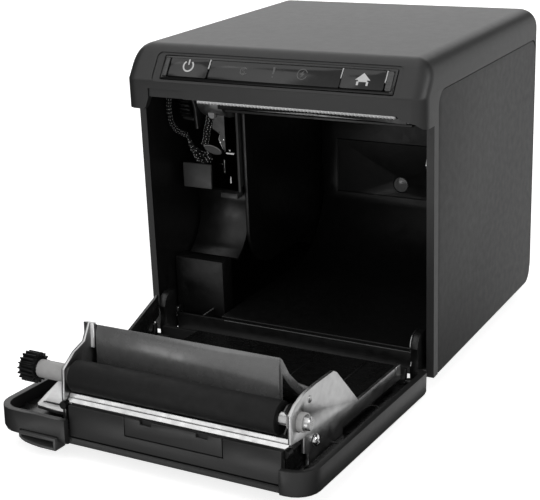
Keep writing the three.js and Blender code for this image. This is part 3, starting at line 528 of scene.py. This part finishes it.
def make_icons():
    power = (-35.3, 7.0)
    thick = (KEY_FACE - 0.06, KEY_FACE + 0.1)
    ring = arc(power, 2.45, 128, 412, 28) + arc(power, 1.85, 412, 128, 28)
    bar = rectangle((power[0] - 0.28, power[0] + 0.28), (power[1] + 0.5, power[1] + 2.8), 0.25, 3)
    flat_print("power_icon", Form().prism("y", ring, thick).prism("y", bar, thick), PRINT_AND_GLINT, "power_button")
    x, z = 38.6, 3.9
    arrow = [(x - 3, z + 2.1), (x - 1.8, z + 2.1), (x - 1.8, z + 1.4), (x + 1.8, z + 1.4), (x + 1.8, z + 2.1),
             (x + 3, z + 2.1), (x, z + 4.9)]
    feed = Form().prism("y", arrow, thick)
    for side in (-1, 1):
        leg = sorted((x + side * 1.5, x + side * 2.3))
        feed.prism("y", rectangle(leg, (z, z + 1.5), 0.12, 3), thick)
    flat_print("feed_icon", feed, PRINT_AND_GLINT, "feed_button")
    faint = (WINDOW_FACE - 0.04, WINDOW_FACE + 0.1)
    drop = arc((-10.8, 6.5), 1.75, 30, 330, 5) + arc((-10.8, 6.5), 1.35, 330, 30, 5)
    curl = arc((-10.8, 7.0), 0.65, 40, 250, 8) + arc((-10.8, 7.0), 0.35, 250, 40, 8)
    curl_low = arc((-10.8, 5.9), 0.65, -140, 70, 8) + arc((-10.8, 5.9), 0.35, 70, -140, 8)
    paper = Form().prism("y", drop, faint).prism("y", curl, faint).prism("y", curl_low, faint)
    flat_print("window_icon_paper", paper, FAINT)
    mark = Form().prism("y", [(1.6, 6.0), (2.1, 6.0), (2.35, 9.0), (1.35, 9.0)], faint)
    mark.prism("y", rectangle((1.55, 2.15), (4.7, 5.3), 0.28, 3), faint)
    flat_print("window_icon_error", mark, FAINT)
    ring = arc((13.9, 6.8), 2.2, 20, 340, 20) + arc((13.9, 6.8), 1.85, 340, 20, 20)
    bolt = [(14.5, 8.4), (12.9, 6.6), (13.8, 6.6), (13.2, 5.2), (14.9, 7.1), (14.0, 7.1)]
    power_mark = Form().prism("y", ring, faint).prism("y", bolt, faint)
    flat_print("window_icon_power", power_mark, FAINT)


def make_glints():
    """Painted highlights: light grey strips at the ends of the keys, standing for glints on their polished bevels.
    """
    top = PANEL_HIGH - 1.3
    for name, x, low in (("left", -26.2, 6.4), ("middle", 29.8, 6.2), ("right", 47.35, 5.6)):
        strip = [(x - 0.2, low), (x + 0.1, low), (x + 0.25, low + 1.6), (x + 0.3, top), (x - 0.05, top),
                 (x - 0.1, low + 1.6)]
        form = Form().prism("y", strip, (-0.42, 0.4))
        piece(f"key_glint_{name}", form, PRINT_AND_GLINT, PANEL, edge=0.08)


# ---------- Wires and small parts in the drive space ----------
def braid(name, points, radius):
    """A dark sleeve with light beads that stand for the crossing threads of a braid and for their painted speckle
    highlights.
    """
    path = smooth_path(points, 10)
    piece(f"{name}_sleeve", Form().tube(path, radius, 12), WIRE, edge=0)
    thread_glints = Form()
    for i in range(0, len(path) - 1, 3):
        point = path[i]
        ahead = (path[i + 1] - point).normalized()
        across = ahead.cross(Vector((0, 1, 0.2))).normalized()
        up = ahead.cross(across)
        for k in range(6):
            angle = 2 * math.pi * (k + 0.25 * (i % 2)) / 6
            out = across * math.cos(angle) + up * math.sin(angle)
            thread_glints.dome(point + out * radius * 0.95, 0.2, out, 0.9, 6)
    return piece(f"{name}_threads", thread_glints, THREAD_AND_GLINT, edge=0)


def make_harness():
    outer = [(-58.2, 14, 103.5), (-58.9, 14.3, 99), (-58.9, 15, 94), (-58.9, 17, 90), (-57.6, 19.8, 87),
             (-54.8, 21.6, 85.4)]
    inner = [(-45.4, 24, 94), (-46.0, 24, 91), (-47.0, 24, 88), (-47.6, 24, 84.4), (-48.6, 24, 81.6)]
    braid("outer_wires", outer, 1.0)
    made = braid("inner_wires", inner, 1.5)
    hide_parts("wire_harness")
    loops = Form()
    glint_beads = Form()
    for _ in range(15):
        sag = random.uniform(-3.5, 2)
        path = smooth_path([
            (-54.8 + random.uniform(-0.4, 0.4), 21.6 + random.uniform(-0.4, 0.4), 85.4),
            (-53.4 + random.uniform(-1.6, 1), 22 + random.uniform(-1.2, 1.2), 81.5 + sag * 0.6),
            (-50.5 + random.uniform(-1.2, 1.2), 23 + random.uniform(-1.5, 1.5), 77.5 + sag),
            (-46.6 + random.uniform(-0.8, 0.8), 24 + random.uniform(-1, 1), 77.4 + sag * 0.8),
            (-48.6 + random.uniform(-0.5, 0.5), 24, 81.6),
        ], 8)
        loops.tube(path, 0.38, 8)
        # Painted highlights: light beads along each loose wire stand for the speckles of light on its gloss.
        for point in path[4::3]:
            glint_beads.dome(point + Vector((0, -0.3, 0)), random.uniform(0.14, 0.26), (0, -1, 0.3), 0.9, 6)
    piece("loose_wires", loops, WIRE, edge=0)
    piece("loose_wire_glints", glint_beads, THREAD_AND_GLINT, edge=0)


def make_drive_details():
    connector = rectangle((-45.6, -42.6), (93.2, 98.4), 0.7, 4)
    piece("wire_connector", Form().prism("y", connector, (22.8, 25)), LIGHT_GREY, edge=0.3)
    clip = smooth_path([(-40.6, 24, 99.4), (-39.5, 24, 98), (-39.4, 24, 96.6), (-40.5, 24, 95.2)], 6)
    piece("wire_clip", Form().tube(clip, 0.35, 8), SHINY, edge=0)
    edge_points = [(-44.7, 88.6), (-41.2, 86.3), (-41.8, 84.3), (-40.2, 80.5), (-39, 79)]
    cheek = edge_points + [(-38.9, 79), (-38.9, 99), (-43, 99), (-44.6, 93)]
    piece("drive_cheek", Form().prism("y", cheek, (24.4, 25.2)), DARK_STEEL, edge=0.1)
    # Painted highlight: a thin bright bar along the cheek's edge.
    rim = [Vector((x, 24.3, z)) for x, z in edge_points]
    piece("drive_cheek_glint", Form().tube(rim, 0.13, 6), SHINY, edge=0)
    strips = Form()
    strips.prism("y", rectangle((-45.4, -44.9), (88.9, 91.8), 0.2, 3), (23.6, 24.2))
    strips.prism("y", rectangle((-43.3, -42.5), (68.2, 74.1), 0.3, 3), (29.2, 29.8))
    strips.prism("y", rectangle((-45.2, -43.4), (71.6, 72.3), 0.3, 3), (29.2, 29.8))
    strips.prism("y", rectangle((-40.2, -39.6), (63.9, 67), 0.25, 3), (29.2, 29.8))
    strips.prism("y", rectangle((-41.2, -37.4), (76.8, 77.6), 0.3, 3), (28.6, 29.8))
    piece("drive_spring_strips", strips, SHINY, edge=0.1)
    rivets = Form()
    for place in ((-41.2, 24.4, 82.9), (-39.6, 24.4, 84.2), (-39.4, 28.6, 78.6)):
        rivets.dome(place, 0.55)
    piece("drive_rivets", rivets, SHINY, edge=0)
    lever = [(-44.0 + 4.2 * math.cos(a) + 0.1 * math.sin(a), 79.8 + 1.75 * math.sin(a) - 0.9 * math.cos(a))
             for a in (2 * math.pi * k / 28 for k in range(28))]
    piece("drive_lever", Form().prism("y", lever, (22.6, 23.8)), GREY, edge=0.35)
    # Painted highlight: a thin light bar along the lever's upper edge.
    top = [Vector((x, 22.5, z)) for x, z in lever[2:13]]
    piece("drive_lever_glint", Form().tube(top, 0.16, 6), LIGHT_GREY, edge=0)


# ---------- Door details ----------
def screw(name, centre, out, radius, place, body):
    """A pan head with a cross recess."""
    head = Form().dome(centre, radius, out, 0.55, 24).object(name, place)
    direction = Vector(out).normalized()
    across = direction.orthogonal().normalized()
    up = direction.cross(across)
    tools = []
    for wide, thin in ((across, up), (up, across)):
        loop = [wide * a + thin * b for a, b in ((-0.62, -0.14), (0.62, -0.14), (0.62, 0.14), (-0.62, 0.14))]
        base = Vector(centre) + direction * radius * 0.18
        tip = Vector(centre) + direction * radius
        loops = [[base + point * radius for point in loop], [tip + point * radius for point in loop]]
        tools.append(Form().rings(loops).object("tool", place))
    carve(head, tools)
    head.data.materials.clear()
    head.data.materials.append(SHINY)
    soften(head, 0)
    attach(head, body)
    return head


def make_exit_strip():
    """The two-tone steel strip along the paper's way out, with a fine groove between its bands."""
    section = [(3.6, 93.4), (6.6, 93.4), (6.6, 94.2), (5.5, 95.05), (5.35, 94.85), (5.2, 95.3), (4.0, 96.2),
               (3.9, 96.6), (3.6, 96.6)]
    form = Form().prism("x", section, (-35.1, 52.4))
    piece("exit_strip", form, STRIP, DOOR, "door", edge=0.08, replaces=("fixed_blade",))


def make_door_details():
    make_exit_strip()
    made = screw("arm_screw_cross", (RIGHT_ARM_OUTER + 0.3, 1.6, 81.2), (1, 0, 0), 2.3, DOOR, "door")
    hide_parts("arm_screw_right")
    clip = Form()
    sector = arc((ROLLER_Y, ROLLER_Z), 5.2, 140, 400, 24) + arc((ROLLER_Y, ROLLER_Z), 2.9, 400, 140, 24)
    clip.prism("x", sector, (50.2, 50.8))
    piece("shaft_clip", clip, DARK_STEEL, DOOR, "door", edge=0.1)
    cap = Form().lathe("x", (ROLLER_Y, ROLLER_Z), [(56.7, 2.35), (58.2, 2.35), (58.6, 1.9)], 28)
    piece("shaft_end_cap", cap, STEEL, DOOR, "platen", edge=0)
    link = rectangle((-0.6, 3.8), (10.4, 14.4), 0.8, 4)
    piece("arm_link", Form().prism("x", link, (54.65, 55.1)), PLATE, DOOR, "door", edge=0.2)
    dimple = Form().dome((RIGHT_ARM_OUTER, 17.6, 84.8), 1.3, (1, 0, 0), 0.4, 20)
    piece("arm_dimple", dimple, PLATE, DOOR, "door", edge=0)
    knobs = Form()
    for x in (-35.6, 52.6):
        knobs.rod("z", (x + 0.1, 3.2), 1.5, (95.4, 98.6), 20)
    piece("strip_end_pins", knobs, GEAR, DOOR, "door", edge=0.3)
    for i, (x, z) in enumerate(((52.2, 35), (53.4, 69.6))):
        arch = smooth_path([(x, LINER_TOP + 0.1, z), (x + 1.4, LINER_TOP + 0.1, z - 1.8),
                            (x + 3.6, LINER_TOP + 0.1, z - 1.6), (x + 5.6, LINER_TOP + 0.1, z + 0.6)], 6)
        piece(f"floor_catch_{i}", Form().tube(arch, 0.28, 8), GREY, DOOR, "door", edge=0)
    hub = Form().lathe("x", (ROLLER_Y, ROLLER_Z),
                       [(-56.5, 2.7), (-56.5, 3.6), (-56.9, 3.6), (-57.3, 2.9), (-57.3, 2.45)], 28)
    piece("gear_boss", hub, GEAR, DOOR, "platen", edge=0)


# ---------- Floor, rear and underside details ----------
def make_floor_details():
    # Painted highlight: a thin light bar along the front edge of the sill.
    sill = [(x, 3.35, 12.5) for x in (-31, 12, 52.8)]
    piece("sill_glint", Form().tube(sill, 0.13, 8), PAINTED_EDGE_GLINT, edge=0)
    rib = Form().box((-42.3, -41.7), (4.8, 12.9), (7.8, 12.5))
    piece("floor_rib", rib, INNER_AND_SHADE, edge=0.15)
    # Painted highlight: a thin light bar along the floor rib's top edge.
    edge = [(-42, 4.8, 12.6), (-42, 9, 12.6), (-42, 12.8, 12.6)]
    piece("floor_rib_glint", Form().tube(edge, 0.2, 8), PAINTED_EDGE_GLINT, edge=0)
    stop = rectangle((8.6, 12.2), (7.8, 12.7), 0.7, 4)
    piece("floor_stop", Form().prism("x", stop, (-58.3, -57)), STEEL, edge=0.2)
    # Painted highlight: a thin bright steel bar along the hinge post's outline.
    post_glint_path = [(4.2, 22.5), (0.8, 22.7), (-2.4, 21.7), (-3.9, 18.4), (-3.1, 15.4), (-2.3, 13.2), (-3.6, 10)]
    path = smooth_path([(55.45, y, z) for y, z in post_glint_path], 6)
    piece("hinge_arm_glint", Form().tube(path, 0.24, 8), STEEL, edge=0)


def make_rear_details():
    tongue = rectangle((17.5, 23.5), (21.6, 23.2), 0.3, 3)
    contacts = Form().prism("y", tongue, (114, 120))
    piece("usb_tongue", contacts, LIGHT_GREY, edge=0.1)
    pins = Form()
    for k in range(8):
        x = -8.2 + k * 1.2
        pins.tube([(x, 115.2, 29.2), (x, 118, 28.4), (x, 120.6, 26.8)], 0.18, 6)
    piece("lan_contacts", pins, SHINY, edge=0)
    power_pins = Form()
    for x, z in ((37.6, 20.6), (42.4, 20.6), (40, 24.2)):
        power_pins.rod("y", (x, z), 0.7, (115.4, 120.4), 16)
    piece("power_pins", power_pins, SHINY, edge=0.1)
    for i, (x, z) in enumerate(((-52, 20), (52, 20), (-52, 112), (52, 112))):
        screw(f"rear_screw_{i}", (x, BACK - 0.6, z), (0, 1, 0), 2.6, BODY, "case")


# ---------- Camera ----------
FOCAL_LENGTH = 85.608
AZIMUTH = math.radians(29.20)
ELEVATION = math.radians(18.88)
ROLL = math.radians(-2.31)
CAMERA_OFFSET = Vector((229.32, -420.95, 212.79)) * MM


def make_camera():
    wall_front = Vector((0, SHIFT * MM, 0))
    ahead = Vector((
        -math.sin(AZIMUTH) * math.cos(ELEVATION),
        math.cos(AZIMUTH) * math.cos(ELEVATION),
        -math.sin(ELEVATION),
    ))
    right = Vector((math.cos(AZIMUTH), math.sin(AZIMUTH), 0))
    up = right.cross(ahead)
    tilted_right = math.cos(ROLL) * right + math.sin(ROLL) * up
    tilted_up = -math.sin(ROLL) * right + math.cos(ROLL) * up
    data = bpy.data.cameras.new("camera")
    data.lens = FOCAL_LENGTH
    data.sensor_width = 36
    data.clip_start = 0.01
    data.clip_end = 20
    camera = bpy.data.objects.new("camera", data)
    turn = Matrix((tilted_right, tilted_up, -ahead)).transposed()
    camera.matrix_world = Matrix.Translation(wall_front + CAMERA_OFFSET) @ turn.to_4x4()
    bpy.context.collection.objects.link(camera)
    bpy.context.scene.camera = camera


# ---------- Light, floor and backdrop ----------
SKY_DIM, SKY_BRIGHT = 0.03, 0.75
LIGHTS = (
    ("top", (-0.35, 0.1, 1.2), (-0.1, 0, 0.1), (1.4, 1.2), 5.5),
    ("behind", (-0.75, 1.25, 0.75), (0, 0, 0.12), (1.8, 1.1), 8),
    ("right_behind", (0.85, 1.25, -0.05), (0, 0, 0.08), (1.5, 1.4), 5.5),
    ("right", (1.4, -0.1, 0.9), (0, 0.05, 0.08), (0.8, 0.8), 7.5),
    ("front_top", (-0.6, -0.8, 0.95), (0, -0.08, 0.03), (0.8, 0.6), 1.6),
    ("low_card", (-0.19, -0.52, -0.06), (0.03, 0, 0.1), (0.2, 0.2), 0.22),
)


def area_light(name, place, target, size, power):
    data = bpy.data.lights.new(name, "AREA")
    data.shape = "RECTANGLE"
    data.size, data.size_y = size
    data.energy = power
    light = bpy.data.objects.new(name, data)
    light.location = place
    light.rotation_euler = (Vector(target) - Vector(place)).to_track_quat("-Z", "Y").to_euler()
    bpy.context.collection.objects.link(light)


def glow(name, colour, strength):
    material = bpy.data.materials.new(name)
    material.use_nodes = True
    shader = material.node_tree.nodes["Principled BSDF"]
    shader.inputs["Base Color"].default_value = (*colour, 1)
    shader.inputs["Roughness"].default_value = 0.9
    shader.inputs["Emission Color"].default_value = (1, 1, 1, 1)
    shader.inputs["Emission Strength"].default_value = strength
    return material


def sky(world):
    """A dim room that is bright ahead of the printer, where metal and gloss pick it up."""
    tree = world.node_tree
    background = tree.nodes["Background"]
    background.inputs["Color"].default_value = (1, 1, 1, 1)
    place = add(tree, "ShaderNodeTexCoord")
    parts = add(tree, "ShaderNodeSeparateXYZ")
    tree.links.new(place.outputs["Generated"], parts.inputs["Vector"])
    ahead = spread(tree, parts.outputs["Y"], (0.2, -0.85), (SKY_DIM, SKY_BRIGHT))
    share = spread(tree, parts.outputs["X"], (-0.75, -0.2), (0.2, 1))
    product = add(tree, "ShaderNodeMath", operation="MULTIPLY")
    tree.links.new(ahead, product.inputs[0])
    tree.links.new(share, product.inputs[1])
    tree.links.new(product.outputs["Value"], background.inputs["Strength"])


def make_studio():
    scene = bpy.context.scene
    scene.view_settings.view_transform = "Standard"
    scene.world = bpy.data.worlds.new("studio")
    scene.world.use_nodes = True
    sky(scene.world)
    for name, place, target, size, power in LIGHTS:
        area_light(name, place, target, size, power)
    bpy.ops.mesh.primitive_plane_add(size=12)
    floor = bpy.context.object
    floor.name = "floor"
    floor.data.materials.append(glow("floor_pale", (0.6, 0.6, 0.6), 0.8))
    bpy.ops.mesh.primitive_uv_sphere_add(segments=48, ring_count=24, radius=8)
    dome = bpy.context.object
    dome.name = "backdrop"
    dome.data.materials.append(glow("backdrop_white", (0, 0, 0), 1.0))
    for staged in (floor, dome):
        staged.visible_shadow = False
        staged.visible_diffuse = False
        staged.visible_glossy = False
        staged.visible_transmission = False


dress_cad()
make_casing()
make_icons()
make_glints()
make_harness()
make_drive_details()
make_door_details()
make_floor_details()
make_rear_details()
make_camera()
make_studio()
